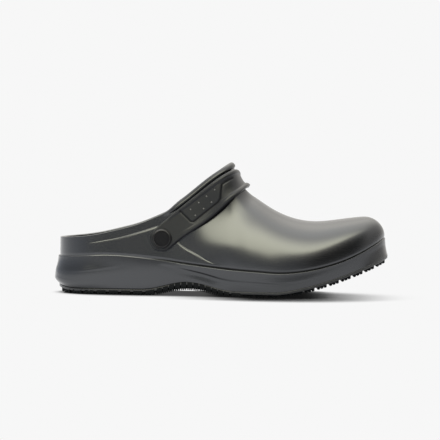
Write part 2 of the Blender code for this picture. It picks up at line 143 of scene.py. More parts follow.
# Quarter panel and groove: share of length, rise of the panel's top edge over the line, how proud it is,
# depth of the groove at the line, overhang of the upper above it, and rounding of the wall below it
PANEL = [
    (0.000, 9.3, 0.00, 0.2, 0.00, 0.8),
    (0.067, 9.1, 0.00, 0.2, 0.00, 0.8),
    (0.100, 9.8, 0.04, 0.2, 0.00, 0.8),
    (0.130, 10.9, 0.12, 0.2, 0.00, 0.8),
    (0.190, 14.6, 0.24, 0.2, 0.00, 0.8),
    (0.250, 21.2, 0.42, 0.3, 0.05, 0.7),
    (0.281, 25.2, 0.55, 0.4, 0.15, 0.5),
    (0.305, 28.3, 0.65, 0.7, 0.20, 0.4),
    (0.325, 28.5, 0.70, 1.0, 0.25, 0.3),
    (0.345, 23.3, 0.70, 1.2, 0.25, 0.3),
    (0.369, 16.4, 0.70, 1.3, 0.30, 0.6),
    (0.402, 11.5, 0.60, 1.4, 0.30, 0.6),
    (0.433, 7.7, 0.35, 1.5, 0.35, 0.6),
    (0.454, 4.9, 0.18, 1.5, 0.35, 0.6),
    (0.478, 3.0, 0.05, 1.5, 0.35, 0.6),
    (0.509, 1.8, 0.00, 1.5, 0.35, 0.6),
    (0.540, 1.6, 0.00, 1.3, 0.35, 0.5),
    (0.600, 2.4, 0.00, 1.1, 0.35, 0.5),
    (0.750, 6.0, 0.00, 1.5, 0.35, 0.3),
    (0.930, 6.0, 0.00, 1.4, 0.35, 0.3),
    (1.000, 6.0, 0.00, 0.3, 0.10, 0.6),
]
OVERHANG_FADE = (2.0, 26.0)
PANEL_EDGE_RUN = 0.5
PANEL_LIP = 0.25
PANEL_LIP_WIDTH = 0.7
VAMP_FADE = 26.0
VAMP_START = (-62.0, -40.0)
GROOVE_WIDTH = 1.1
ARCH_SHARE = 0.4

# Hollow of the vamp where the strap bridges it: distance along the shoe, steepness and height of its foot
RIVET_X = -51.6
RIVET_Z = 48.4
STRAP_SLOPE = math.radians(39.7)
HOLLOWS = [
    (-150.0, 0.0, 52.0),
    (-46.0, 0.0, 52.0),
    (-30.0, 0.03, 49.0),
    (-18.0, 0.085, 46.5),
    (-6.0, 0.125, 45.0),
    (4.0, 0.147, 44.0),
    (9.0, 0.137, 43.7),
    (15.0, 0.078, 43.4),
    (21.0, 0.055, 43.0),
    (30.0, 0.03, 42.0),
    (46.0, 0.01, 42.0),
    (64.0, 0.0, 42.0),
    (150.0, 0.0, 42.0),
]
HOLLOW_HEIGHT = 25.0
HOLLOW_SOFTNESS = 2.5
HOLLOW_UNDER_STRAP = (-9.0, 9.0)
HOLLOW_END = (0.68, 1.0)

# Rolled rim: its rise over the collar, the roll outside it, the groove below, and the painted shade that
# darkens the roll's reflection
RIM_RISE = 0.5
ROLL_RISE = 3.4
ROLL_HEIGHT = 1.5
ROLL_WIDTH = 2.0
ROLL_ROUNDNESS = 2.4
ROLL_START = (-52.0, -36.0)
ROLL_GROOVE = 0.25
ROLL_GROOVE_WIDTH = 0.7
ROLL_SHADE = 0.5
ROLL_SHADE_RUN = (0.8, 2.6)

# Painted shadow on the upper close below the strap: how dark, its shifts across the strap and its start
# along it
STRAP_SHADOW = 0.62
STRAP_SHADOW_UNDER = (-2.0, 6.0)
STRAP_SHADOW_RUN = (9.0, 25.0)
STRAP_SHADOW_START = (30.0, 70.0)

# Faces along and up each sheet of the mesh, and points taken along the collar edge
REAR_COLUMNS = 112
FRONT_COLUMNS = 96
COLUMNS = REAR_COLUMNS + FRONT_COLUMNS
THROAT = REAR_COLUMNS / COLUMNS
UNDER_ROWS = 3
SOLE_WALL_ROWS = 44
PANEL_ROWS = 24
BAND_ROWS = 62
RIM_ROWS = 10
INNER_ROWS = 26
CUP_ROWS = 10
RIM_SAMPLES = 4 * REAR_COLUMNS


def smooth_curve(knots, values):
    """A natural cubic spline through the given values, as a function of an array."""
    knots = np.array(knots, float)
    values = np.array(values, float)
    count = len(knots)
    gaps = np.diff(knots)
    slopes = np.diff(values) / gaps
    matrix = np.eye(count)
    right = np.zeros(count)
    for i in range(1, count - 1):
        matrix[i, i - 1 : i + 2] = gaps[i - 1], 2 * (gaps[i - 1] + gaps[i]), gaps[i]
        right[i] = 6 * (slopes[i] - slopes[i - 1])
    bend = np.linalg.solve(matrix, right)

    def at(where):
        i = np.clip(np.searchsorted(knots, where, side="right") - 1, 0, count - 2)
        b = (where - knots[i]) / gaps[i]
        a = 1 - b
        curl = (a**3 - a) * bend[i] + (b**3 - b) * bend[i + 1]
        return a * values[i] + b * values[i + 1] + curl * gaps[i] ** 2 / 6

    return at


def smooth_columns(rows):
    """The columns of a table after its first, each as a smooth function of the first."""
    first, *others = zip(*rows)
    return [smooth_curve(first, values) for values in others]


section_columns = smooth_columns(SECTIONS)
fullness_at, centre_at, line_at, footbed_at, crown_at, square_at, ridge_at, lean_at = section_columns
(collar_at,) = smooth_columns(COLLAR)
crease_at, tuck_at = smooth_columns(CREASES)
panel_rise_at, panel_proud_at, groove_at, overhang_at, shoulder_at = smooth_columns(PANEL)
hollow_slope_at, hollow_foot_at = smooth_columns(HOLLOWS)
wall_drops = [row[0] for row in SOLE_WALL]
wall_weights = [smooth_curve(wall_drops, one) for one in np.eye(len(SOLE_WALL))]
wall_rows = [smooth_curve(WALL_STATIONS, row[1:]) for row in SOLE_WALL]


def ramp(where, start, end):
    """Smooth step from 0 before start to 1 after end."""
    part = np.clip((where - start) / (end - start), 0, 1)
    return part * part * (3 - 2 * part)


def quarter_round(part):
    """Height of a rounded edge: 0 at its foot, 1 from a full part on."""
    return np.sqrt(1 - (1 - np.clip(part, 0, 1)) ** 2)


def half_round(distance, width):
    """Height of a half-round roll of a given width that starts at a distance of 0."""
    return np.sqrt(np.maximum(0, 1 - (2 * distance / width - 1) ** 2))


def solve(function, low, high, target):
    """Where a rising function meets each target, by halving."""
    low = np.full(np.shape(target), float(low))
    high = np.full(np.shape(target), float(high))
    for _ in range(HALVINGS):
        middle = (low + high) / 2
        under = function(middle) < target
        low = np.where(under, middle, low)
        high = np.where(under, high, middle)
    return (low + high) / 2


def share(turn):
    """Share of the last's length at a turn from 0 at the heel to pi at the toe."""
    return (1 - np.cos(turn)) / 2


def turn_at(along):
    """The turn at a share of the last's length."""
    return np.arccos(np.clip(1 - 2 * along, -1, 1))


def length_at(along):
    """Distance along the shoe at a share of the last's length."""
    return HEEL_X + LAST_LENGTH * along


def along_at(x):
    """Share of the last's length at a distance along the shoe."""
    return (x - HEEL_X) / LAST_LENGTH


def station(u):
    """Turn at a share of the columns, which crowd at the heel, the throat's apex and the toe."""
    rear = APEX * share(np.pi * np.minimum(u / THROAT, 1))
    front = (1 - APEX) * share(np.pi * np.maximum((u - THROAT) / (1 - THROAT), 0))
    return turn_at(rear + front)


def outline(turn, side):
    """The last's plan outline at the line where upper and sole wall meet."""
    along = share(turn)
    y = centre_at(along) + side * fullness_at(along) * np.sin(turn)
    return np.stack((length_at(along), y, line_at(along)), axis=-1)


def outward(turn, side):
    """Level direction that points out of the outline."""
    tangent = outline(turn + STEP, side) - outline(turn - STEP, side)
    normal = np.stack((-side * tangent[:, 1], side * tangent[:, 0], np.zeros(len(turn))), axis=-1)
    return normal / np.linalg.norm(normal, axis=-1, keepdims=True)


def top_at(along):
    """Height of the arch's ridge, rounded down to the line over the nose of the toe."""
    past = (length_at(along) - length_at(1) + NOSE_LENGTH) / NOSE_LENGTH
    rounding = np.sqrt(np.maximum(0, 1 - np.maximum(0, past) ** NOSE_POWER))
    return line_at(along) + (crown_at(along) - line_at(along)) * rounding


def arch_height(along, lift):
    """Height on the arch at an angle from 0 at the line to a right angle at the ridge."""
    rise = np.sin(lift) * (1 + square_at(along) * np.cos(lift) ** 2)
    return line_at(along) + (top_at(along) - line_at(along)) * rise


def upper_point(turn, lift, side):
    """A point of the upper's smooth outer surface."""
    along = share(turn)
    z = arch_height(along, lift)
    reach = np.cos(lift) * (1 + square_at(along) * np.sin(lift) ** 2)
    half = fullness_at(along) * np.sin(turn) * reach
    half = half - lean_at(along) * (z - line_at(along)) * np.sin(turn) * np.cos(lift)
    y = centre_at(along) + ridge_at(along) * np.sin(lift) ** 2 + side * half
    return np.stack((length_at(along), y, z), axis=-1)


def upper_normal(turn, lift, side):
    """Unit direction out of the upper's outer surface."""
    across = upper_point(turn + STEP, lift, side) - upper_point(turn - STEP, lift, side)
    up = upper_point(turn, lift + STEP, side) - upper_point(turn, lift - STEP, side)
    normal = np.cross(across, up) * -side
    size = np.linalg.norm(normal, axis=-1, keepdims=True)
    tip = ((np.sin(turn) < STEP) & (turn > 1))[:, None]
    return np.where(tip, (1.0, 0.0, 0.0), normal / np.maximum(size, STEP**4))


def lift_at_height(along, z):
    """The arch angle at which a section reaches a height."""
    return solve(lambda lift: arch_height(along, lift), 0, np.pi / 2, z)


def top_lift(along):
    """Arch angle where a section ends: at the collar behind the throat, at the ridge before it."""
    collar = lift_at_height(along, collar_at(np.minimum(along, APEX)))
    return np.where(along >= APEX - WELD, np.pi / 2, collar)


def tread_lift(x):
    """Height of the tread off the floor: heel bevel, arch and toe spring."""
    heel = HEEL_BEVEL * np.maximum(HEEL_FLAT_START - x, 0) ** 2
    toe = TOE_SPRING_RATE * np.maximum(x - TOE_SPRING_START, 0) ** TOE_SPRING_POWER
    offset = np.minimum(np.abs(x - ARCH_CENTRE) / ARCH_HALF_SPAN, 1)
    return heel + toe + ARCH_LIFT * (1 + np.cos(np.pi * offset)) / 2


def sole_edge(turn, side):
    """Bottom edge of the sole wall."""
    edge = outline(turn, side) + outward(turn, side) * wall_rows[-1](share(turn))[:, None]
    edge[:, 2] = tread_lift(edge[:, 0]) + OUTSOLE_DEPTH
    return edge


def sole_face(depth, inset):
    """A flat side of the sole at a depth below the shell's bottom, from its edge to the middle."""

    def surface(u, v, side):
        turn = station(u)
        edge = sole_edge(turn, side)
        middle = (edge + sole_edge(turn, -side)) / 2
        edge = edge - outward(turn, side) * inset
        point = edge + (middle - edge) * v[:, None]
        point[:, 2] = tread_lift(point[:, 0]) + OUTSOLE_DEPTH - depth
        return point

    return surface


def sole_wall(u, v, side):
    """Sole wall from its bottom edge up to the groove, with a row of faces along the crease."""
    turn = station(u)
    along = share(turn)
    crease = crease_at(along)
    upper_half = crease * (1 - np.sin(np.pi * np.clip(v - 0.5, 0, 0.5)))
    drop = np.where(v < 0.5, 1 - (1 - crease) * 2 * v, upper_half)
    base = outline(turn, side)
    height = line_at(along) - tread_lift(base[:, 0]) - OUTSOLE_DEPTH
    above = (crease - drop) * height
    tuck = ramp(-above, 0, TUCK_RUN) * (1 - ramp(-above, TUCK_RUN, TUCK_RUN + TUCK_FADE))
    out = sum(weight(drop) * row(along) for weight, row in zip(wall_weights, wall_rows))
    out = out - np.maximum(tuck_at(along), 0) * tuck
    groove = groove_at(along)
    out = (out + groove) * quarter_round(drop * height / shoulder_at(along)) - groove
    point = base + outward(turn, side) * out[:, None]
    bottom = tread_lift(point[:, 0]) + OUTSOLE_DEPTH
    point[:, 2] = line_at(along) + (bottom - line_at(along)) * drop
    return point


def panel_lift(along):
    """Arch angle at the quarter panel's top edge."""
    room = ARCH_SHARE * (top_at(along) - line_at(along))
    return lift_at_height(along, line_at(along) + np.minimum(panel_rise_at(along), room))


def grooved(turn, lift, side):
    """The upper's outer surface with the groove at the line let into it."""
    point = upper_point(turn, lift, side)
    over = point[:, 2] - line_at(share(turn))
    overhang = overhang_at(share(turn)) * (1 - ramp(over, *OVERHANG_FADE))
    depth = (groove_at(share(turn)) + overhang_at(share(turn))) * np.exp(-((over / GROOVE_WIDTH) ** 2))
    return point + outward(turn, side) * (overhang - depth)[:, None]


def quarter_panel(u, v, side):
    """Upper from the groove to the quarter panel's rounded top edge."""
    turn = station(u)
    along = share(turn)
    top = panel_lift(along)
    lift = top * share(np.pi * v)
    from_edge = np.linalg.norm(upper_point(turn, top, side) - upper_point(turn, lift, side), axis=-1)
    lip = PANEL_LIP * np.clip(panel_proud_at(along), 0, 1) * np.exp(-((from_edge / PANEL_LIP_WIDTH) ** 2))
    return grooved(turn, lift, side) - upper_normal(turn, lift, side) * lip[:, None]


def collar_point(u, side):
    """A point of the collar edge at a share of its columns."""
    turn = station(u * THROAT)
    return upper_point(turn, top_lift(share(turn)), side)


def rim_distance(points, side):
    """Distance of points from the collar edge."""
    rim = collar_point(np.linspace(0, 1, RIM_SAMPLES), side)
    return np.array([np.min(np.linalg.norm(rim - point, axis=-1)) for point in points])


def strap_measure(point):
    """Reach of points along the strap's line from the rivet and shift across it, seen from the side."""
    x = point[:, 0] - RIVET_X
    z = point[:, 2] - RIVET_Z
    reach = x * math.cos(STRAP_SLOPE) + z * math.sin(STRAP_SLOPE)
    shift = x * math.sin(STRAP_SLOPE) - z * math.cos(STRAP_SLOPE)
    return reach, shift


def hollow(point):
    """Depth of the vamp's hollow under the strap."""
    _, shift = strap_measure(point)
    over = (point[:, 2] - hollow_foot_at(point[:, 0])) / HOLLOW_SOFTNESS
    height = HOLLOW_HEIGHT / HOLLOW_SOFTNESS
    rise = HOLLOW_SOFTNESS * (np.logaddexp(0, over) - np.logaddexp(0, over - height))
    slope = np.maximum(hollow_slope_at(point[:, 0]), 0)
    along = along_at(point[:, 0])
    raised = (point[:, 2] - line_at(along)) / np.maximum(top_at(along) - line_at(along), STEP)
    return slope * rise * ramp(shift, *HOLLOW_UNDER_STRAP) * (1 - ramp(raised, *HOLLOW_END))


def band_lift(along, v):
    """Arch angle at a share of the way from the panel's edge up to the collar or the ridge."""
    start = panel_lift(along)
    return start + (top_lift(along) - start) * share(np.pi * v)


def upper_band(u, v, side):
    """Upper from the panel's edge to the collar or the ridge: recessed band, vamp and rolled rim."""
    turn = station(u)
    along = share(turn)
    lift = band_lift(along, v)
    point = upper_point(turn, lift, side)
    from_edge = np.linalg.norm(point - upper_point(turn, panel_lift(along), side), axis=-1)
    strength = np.clip(panel_proud_at(along), 0, None)
    lip = PANEL_LIP * np.minimum(strength, 1)
    fade = ramp(point[:, 0], *VAMP_START) * ramp(from_edge, PANEL_EDGE_RUN, VAMP_FADE)
    recess = lip + (strength - lip) * ramp(from_edge, 0, PANEL_EDGE_RUN)
    recess = recess * (1 - fade)
    from_rim = rim_distance(point, side)
    down = np.minimum(from_rim / ROLL_WIDTH, 1)
    roll = ROLL_HEIGHT * np.sqrt(1 - down**ROLL_ROUNDNESS)
    roll = roll - ROLL_GROOVE * np.exp(-(((from_rim - ROLL_WIDTH) / ROLL_GROOVE_WIDTH) ** 2))
    out = roll * ramp(point[:, 0], *ROLL_START) - recess - hollow(point)
    return grooved(turn, lift, side) + upper_normal(turn, lift, side) * out[:, None]


def upper_shade(u, v):
    """How much painted shade a point of the upper gets: on the rolled rim's foot, and as a painted shadow
    below the strap.
    """
    turn = station(u)
    point = upper_point(turn, band_lift(share(turn), v), MEDIAL)
    from_rim = rim_distance(point, MEDIAL)
    # Painted shade on the roll near the rim, darkening its reflection
    on_roll = ramp(point[:, 0], *ROLL_START) * (1 - ramp(from_rim, *ROLL_SHADE_RUN))
    reach, shift = strap_measure(point)
    # Painted shadow on the upper below the strap's lower edge
    below = ramp(shift, *STRAP_SHADOW_UNDER) * (1 - ramp(shift, *STRAP_SHADOW_RUN))
    return np.maximum(STRAP_SHADOW * below * ramp(reach, *STRAP_SHADOW_START), ROLL_SHADE * on_roll)


def inner_point(turn, lift, side):
    """A point of the upper's inner surface, one wall in from the outer one."""
    point = upper_point(turn, lift, side)
    return point - upper_normal(turn, lift, side) * (WALL + hollow(point))[:, None]


def rolled_rim(u, v, side):
    """Half-round rim over the wall's thickness, from the outside to the inside of the collar."""
    turn = station(u * THROAT)
    lift = top_lift(share(turn))
    outer = upper_band(u * THROAT, np.ones(len(u)), side)
    inner = inner_point(turn, lift, side)
    ahead = collar_point(np.minimum(u + STEP, 1), side)
    behind = collar_point(np.maximum(u - STEP, 0), side)
    ends = ((u == 0) | (u == 1))[:, None]
    edge = np.where(ends, (0.0, 1.0, 0.0), ahead - behind)
    away = np.cross(upper_normal(turn, lift, side), edge)
    away = away * np.sign(away[:, 2:]) / np.linalg.norm(away, axis=-1, keepdims=True)
    middle = (outer + inner) / 2
    angle = (np.pi * v)[:, None]
    rise = RIM_RISE + (ROLL_RISE - RIM_RISE) * ramp(outer[:, :1], *ROLL_START)
    return middle + (outer - middle) * np.cos(angle) + away * rise * np.sin(angle)


def rim_shade(u, v):
    """How much painted shade the rim gets: most at its outer foot, none from its top on."""
    rolled = ramp(length_at(share(station(u * THROAT))), *ROLL_START)
    return ROLL_SHADE * rolled * np.maximum(np.cos(np.pi * v), 0) ** 2


def inner_wall(u, v, side):
    """Inside of the upper from the collar or the ridge down to the footbed."""
    turn = station(u)
    return inner_point(turn, top_lift(share(turn)) * (1 - v), side)


def cup_point(turn, side, sweep, raised=0.0, inset=0.0):
    """A point of the footbed, from a sweep of 0 at the wall to a right angle at the middle."""
    along = share(turn)
    wall = inner_point(turn, np.zeros(len(turn)), side)
    middle = (wall + inner_point(turn, np.zeros(len(turn)), -side)) / 2
    reach = np.cos(sweep) * (1 + CUP_SQUARENESS * np.sin(sweep) ** 2)
    fall = np.sin(sweep) * (1 + CUP_SQUARENESS * np.cos(sweep) ** 2)
    span = np.linalg.norm(wall - middle, axis=-1)
    keep = np.maximum(0, span - inset) / np.maximum(span, STEP)
    point = middle + (wall - middle) * (reach * keep)[:, None]
    end = np.minimum(along, 1 - along) * LAST_LENGTH / CUP_ROUNDING
    depth = (line_at(along) - footbed_at(along)) * quarter_round(end)
    point[:, 2] = line_at(along) - depth * fall + raised
    return point


def footbed(u, v, side):
    """Footbed from the wall to the middle."""
    return cup_point(station(u), side, np.pi / 2 * v)


def lay_sheet(side, columns, rows, surface, shade=None):
    """A flat grid laid over a surface, which is a function of two shares and gives millimetres."""
    bpy.ops.mesh.primitive_grid_add(x_subdivisions=columns, y_subdivisions=rows, size=1)
    sheet = bpy.context.object
    flat = np.empty(len(sheet.data.vertices) * 3, np.float32)
    sheet.data.vertices.foreach_get("co", flat)
    flat = flat.reshape(-1, 3).astype(float)
    u = np.round((flat[:, 0] + 0.5) * columns) / columns
    v = np.round((flat[:, 1] + 0.5) * rows) / rows
    laid = (surface(u, v, side) * MM).astype(np.float32)
    sheet.data.vertices.foreach_set("co", laid.ravel())
    # Painted shade, stored on the points for the material to mix in
    if shade:
        painted_shade_layer = sheet.data.attributes.new("shade", "FLOAT", "POINT")
        painted_shade_layer.data.foreach_set("value", shade(u, v).astype(np.float32))
    return sheet


def join(name, things):
    """Joins objects into the first of them, under a new name."""
    bpy.ops.object.select_all(action="DESELECT")
    for thing in things:
        thing.select_set(True)
    bpy.context.view_layer.objects.active = things[0]
    bpy.ops.object.join()
    things[0].name = name
    return things[0]


def weld(name, sheets):
    """Lays sheets on both sides and joins them along their shared edges into one closed, smooth body."""
    body = join(name, [lay_sheet(side, *sheet) for side in SIDES for sheet in sheets])
    bpy.ops.object.mode_set(mode="EDIT")
    bpy.ops.mesh.select_all(action="SELECT")
    bpy.ops.mesh.remove_doubles(threshold=WELD)
    bpy.ops.mesh.dissolve_degenerate(threshold=WELD)
    bpy.ops.mesh.normals_make_consistent(inside=False)
    bpy.ops.object.mode_set(mode="OBJECT")
    bpy.ops.object.shade_smooth()
    return body


shell_sheets = [
    (COLUMNS, UNDER_ROWS, sole_face(0.0, 0.0)),
    (COLUMNS, SOLE_WALL_ROWS, sole_wall),
    (COLUMNS, PANEL_ROWS, quarter_panel),
    (COLUMNS, BAND_ROWS, upper_band, upper_shade),
    (REAR_COLUMNS, RIM_ROWS, rolled_rim, rim_shade),
    (COLUMNS, INNER_ROWS, inner_wall),
    (COLUMNS, CUP_ROWS, footbed),
]
shell = weld("foam_shell", shell_sheets)


class Paint:
    """A socket in a material's node tree, ready for plain arithmetic."""

    def __init__(self, tree, socket=None):
        self.tree = tree
        self.socket = socket

    def make(self, kind, settings, inputs, output=0):
        """Adds a node, sets its settings, then gives its sockets values or links."""
        node = self.tree.nodes.new(kind)
        for name, value in settings.items():
            setattr(node, name, value)
        for name, value in inputs.items():
            if isinstance(value, Paint):
                self.tree.links.new(value.socket, node.inputs[name])
            else:
                node.inputs[name].default_value = value
        return Paint(self.tree, node.outputs[output])

    def into(self, node, name):
        """Links this socket to a named input."""
        self.tree.links.new(self.socket, node.inputs[name])

    def maths(self, operation, first, second):
        """Adds a maths node over two values or sockets."""
        return self.make("ShaderNodeMath", {"operation": operation}, {0: first, 1: second})

    def __add__(self, other):
        return self.maths("ADD", self, other)

    __radd__ = __add__

    def __sub__(self, other):
        return self.maths("SUBTRACT", self, other)

    def __rsub__(self, other):
        return self.maths("SUBTRACT", other, self)

    def __mul__(self, other):
        return self.maths("MULTIPLY", self, other)

    __rmul__ = __mul__


def new_finish(name, specular=0.5):
    """A new material, its node tree as paint, its shader, and the place on the object."""
    material = bpy.data.materials.new(name)
    material.use_nodes = True
    paint = Paint(material.node_tree)
    shader = material.node_tree.nodes["Principled BSDF"]
    shader.inputs["Specular IOR Level"].default_value = specular
    return material, paint, shader, paint.make("ShaderNodeTexCoord", {}, {}, "Object")


def blend(paint, factor, first, second):
    """A colour between two colours."""
    return paint.make("ShaderNodeMix", {"data_type": "RGBA"}, {0: factor, 6: first, 7: second}, 2)


def noise(paint, place, scale, detail):
    """Even cloudy noise, about half a unit on average."""
    settings = {"noise_dimensions": "3D"}
    return paint.make("ShaderNodeTexNoise", settings, {"Vector": place, "Scale": scale, "Detail": detail})


def roughen(paint, shader, height, strength, distance):
    """Bumps a shader's surface by a height."""
    inputs = {"Height": height, "Strength": strength, "Distance": distance}
    paint.make("ShaderNodeBump", {}, inputs).into(shader, "Normal")


FOAM_DARK = (0.0045, 0.0047, 0.0056, 1.0)
FOAM_PALE = (0.0060, 0.0062, 0.0071, 1.0)
FOAM_TINT = (0.92, 0.95, 1.0, 1.0)


def moulded_foam(name, dark, pale, roughness, grain, specular):
    """Satin moulded foam: faint clouding of tone and gloss, a fine skin grain, and painted shade mixed in
    by attribute.
    """
    material, paint, shader, place = new_finish(name, specular)
    shader.inputs["Specular Tint"].default_value = FOAM_TINT
    cloud = noise(paint, place, 38.0, 3.0)
    skin = noise(paint, place, 1500.0, 2.0)
    ripple = noise(paint, place, 260.0, 1.0)
    blend(paint, cloud, dark, pale).into(shader, "Base Color")
    (roughness + 0.04 * (cloud - 0.5) + 0.04 * (skin - 0.5)).into(shader, "Roughness")
    roughen(paint, shader, skin + 0.8 * ripple, grain, 0.0002)
    # Painted shade: a dark matte shader mixed over the skin by the mesh's shade attribute
    shade = paint.make("ShaderNodeAttribute", {"attribute_name": "shade"}, {}, "Fac")
    painted_shade_bsdf = paint.make("ShaderNodeBsdfDiffuse", {}, {"Color": dark})
    skin_or_painted_shade = {0: shade, 1: Paint(paint.tree, shader.outputs[0]), 2: painted_shade_bsdf}
    whole = paint.make("ShaderNodeMixShader", {}, skin_or_painted_shade)
    whole.into(paint.tree.nodes["Material Output"], "Surface")
    return material


shell.data.materials.append(moulded_foam("shell_foam", FOAM_DARK, FOAM_PALE, 0.205, 0.03, 0.95))
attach(shell, "root")
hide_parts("shell")

# Outsole: a thin plate of oil-resistant rubber bonded under the shell, its edge flush with the wall.
# Rows of small blocks stand on it, each cut into three bars across the shoe for grip.
PLATE_DEPTH = 2.2
PLATE_ROUND = 0.5
PLATE_ROWS = 10
LUG_PITCH = 10.5
LUG_CHANNEL = 2.8
LUG_COLUMN_WIDTH = 17.0
LUG_COLUMN_CHANNEL = 2.6
LUG_EDGE_INSET = 2.0
LUG_ROOT = 0.6
LUG_LENGTH = 8.3
LUG_WIDTH = 14.4
LUG_BLOCK = 1.9
LUG_BAR_EDGES = (0.0, 0.25, 0.37, 0.63, 0.75, 1.0)
LUG_BEVEL = 0.15
LUG_BEVEL_STEPS = 2
LUG_CREASE = math.radians(35)
FEWEST_LUGS = 2
STAGGERED = (-150.0, 12.0)
FINE_ROWS = (-66.0, 6.0)
FINE_PARTS = 2
FINE_CHANNEL = 0.8
ARCH_TOOTH = 1.7
REAR_RAISE = 0.7
ARCH_RAISE = 1.0
REAR_PROUD = 0.15
EDGE_SAMPLES = 400
lug_depth = OUTSOLE_DEPTH - GAP - PLATE_DEPTH + LUG_ROOT


def plate_edge(u, v, side):
    """Edge of the plate, from its top down to its rounded bottom corner."""
    turn = station(u)
    point = sole_edge(turn, side)
    corner = quarter_round((1 - v) * PLATE_DEPTH / PLATE_ROUND)
    point -= outward(turn, side) * ((1 - corner) * PLATE_ROUND)[:, None]
    point[:, 2] = tread_lift(point[:, 0]) + OUTSOLE_DEPTH - GAP - PLATE_DEPTH * v
    return point


plate_sheets = [
    (COLUMNS, UNDER_ROWS, sole_face(GAP, 0.0)),
    (COLUMNS, UNDER_ROWS, sole_face(GAP + PLATE_DEPTH, PLATE_ROUND)),
    (COLUMNS, PLATE_ROWS, plate_edge),
]
plate = weld("sole_plate", plate_sheets)


def model_lug():
    """One block with three bars under it, its corner at the origin and its root at the top."""
    bars = len(LUG_BAR_EDGES) - 1
    bpy.ops.mesh.primitive_grid_add(x_subdivisions=bars, y_subdivisions=1, size=1)
    lug = bpy.context.object
    for vertex in lug.data.vertices:
        place = round((vertex.co.x + 0.5) * bars)
        vertex.co = (LUG_BAR_EDGES[place] * LUG_LENGTH, (vertex.co.y + 0.5) * LUG_WIDTH, 0.0)
    bpy.ops.object.mode_set(mode="EDIT")
    bpy.ops.mesh.select_all(action="SELECT")
    bpy.ops.mesh.extrude_region_move(TRANSFORM_OT_translate={"value": (0, 0, -LUG_BLOCK)})
    bpy.ops.mesh.select_mode(type="FACE")
    bpy.ops.mesh.select_all(action="DESELECT")
    bpy.ops.object.mode_set(mode="OBJECT")
    for face in lug.data.polygons:
        bar = sum(edge * LUG_LENGTH < face.center.x for edge in LUG_BAR_EDGES) - 1
        face.select = face.center.z < STEP - LUG_BLOCK and bar % 2 == 0
    bpy.ops.object.mode_set(mode="EDIT")
    bpy.ops.mesh.extrude_region_move(TRANSFORM_OT_translate={"value": (0, 0, LUG_BLOCK - lug_depth)})
    bpy.ops.mesh.select_all(action="SELECT")
    bpy.ops.mesh.normals_make_consistent(inside=False)
    bpy.ops.object.mode_set(mode="OBJECT")
    bevel = lug.modifiers.new("bevel", "BEVEL")
    bevel.width = LUG_BEVEL
    bevel.segments = LUG_BEVEL_STEPS
    bpy.ops.object.modifier_apply(modifier=bevel.name)
    return lug


def edge_curve(side):
    """Where the outsole's edge lies, as matching distances along and across the shoe."""
    edge = sole_edge(np.linspace(0, np.pi, EDGE_SAMPLES), side)
    return edge[:, 0], edge[:, 1] - side * LUG_EDGE_INSET


def lug_cells():
    """Ends, side edges and raise of each lug, row by row from heel to toe."""
    edges = {side: edge_curve(side) for side in SIDES}
    first = edges[LATERAL][0][0] + LUG_EDGE_INSET
    last = edges[LATERAL][0][-1] - LUG_EDGE_INSET
    count = round((last - first) / LUG_PITCH)
    pitch = (last - first) / count
    cells = []
    for row in range(count):
        start = first + row * pitch
        fine = FINE_ROWS[0] < start < FINE_ROWS[1]
        staggered = STAGGERED[0] < start < STAGGERED[1]
        last_staggered = staggered and start + pitch > STAGGERED[1]
        parts = FINE_PARTS if fine else 1
        channel = FINE_CHANNEL if fine else LUG_CHANNEL
        for part in range(parts):
            rear = start + part * pitch / parts + channel / 2
            ends = np.array((rear, rear + pitch / parts - channel))
            left = np.interp(ends, *edges[LATERAL])
            right = np.interp(ends, *edges[MEDIAL])
            columns = max(FEWEST_LUGS, round(min(right - left) / LUG_COLUMN_WIDTH))
            width = (right - left) / columns
            for i in range(columns):
                shift = pitch / parts / 2 * (i % 2) * staggered
                if shift and last_staggered:
                    continue
                outer = -(LUG_EDGE_INSET + REAR_PROUD) * staggered
                low = left + width * i + (LUG_COLUMN_CHANNEL / 2 if i else outer)
                high = left + width * (i + 1) - (LUG_COLUMN_CHANNEL / 2 if i < columns - 1 else outer)
                cells.append((ends + shift, low, high, REAR_RAISE * staggered))
    return cells


def copy_of(pattern):
    """A copy of an object with its own mesh, put into the scene."""
    thing = pattern.copy()
    thing.data = pattern.data.copy()
    bpy.context.scene.collection.objects.link(thing)
    return thing


def set_lug(pattern, ends, low, high, raised):
    """A copy of the pattern lug fitted into its cell under the plate."""
    lug = copy_of(pattern)
    for vertex in lug.data.vertices:
        along = vertex.co.x / LUG_LENGTH
        across = vertex.co.y / LUG_WIDTH
        x = ends[0] + (ends[1] - ends[0]) * along
        side_low = low[0] + (low[1] - low[0]) * along
        side_high = high[0] + (high[1] - high[0]) * along
        y = side_low + (side_high - side_low) * across
        arch = max(0.0, math.cos(np.pi / 2 * min(1.0, abs(x - ARCH_CENTRE) / ARCH_HALF_SPAN)))
        up = raised + ARCH_RAISE * arch
        depth = vertex.co.z * (1 + (up + ARCH_TOOTH * arch) / lug_depth)
        z = tread_lift(x) + lug_depth + up + depth
        vertex.co = (x * MM, y * MM, z * MM)
    return lug


pattern = model_lug()
lug_copies = [set_lug(pattern, *cell) for cell in lug_cells()]
bpy.data.objects.remove(pattern)
lugs = join("sole_lugs", lug_copies)
bpy.ops.object.shade_smooth_by_angle(angle=LUG_CREASE)


def grip_rubber(name, specular, roughness):
    """Dull black rubber with a faint dusty bloom and a cast grain."""
    material, paint, shader, place = new_finish(name, specular)
    bloom = noise(paint, place, 60.0, 4.0)
    grain = noise(paint, place, 1800.0, 2.0)
    dark = (0.0025, 0.003, 0.0038, 1.0)
    dusty = (0.0048, 0.006, 0.0075, 1.0)
    blend(paint, bloom, dark, dusty).into(shader, "Base Color")
    (roughness + 0.1 * (bloom - 0.5)).into(shader, "Roughness")
    roughen(paint, shader, grain, 0.3, 0.0002)
    return material


plate.data.materials.append(grip_rubber("plate_rubber", 0.7, 0.3))
lugs.data.materials.append(grip_rubber("lug_rubber", 0.07, 0.6))
for piece in (plate, lugs):
    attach(piece, "root")
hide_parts("outsole")

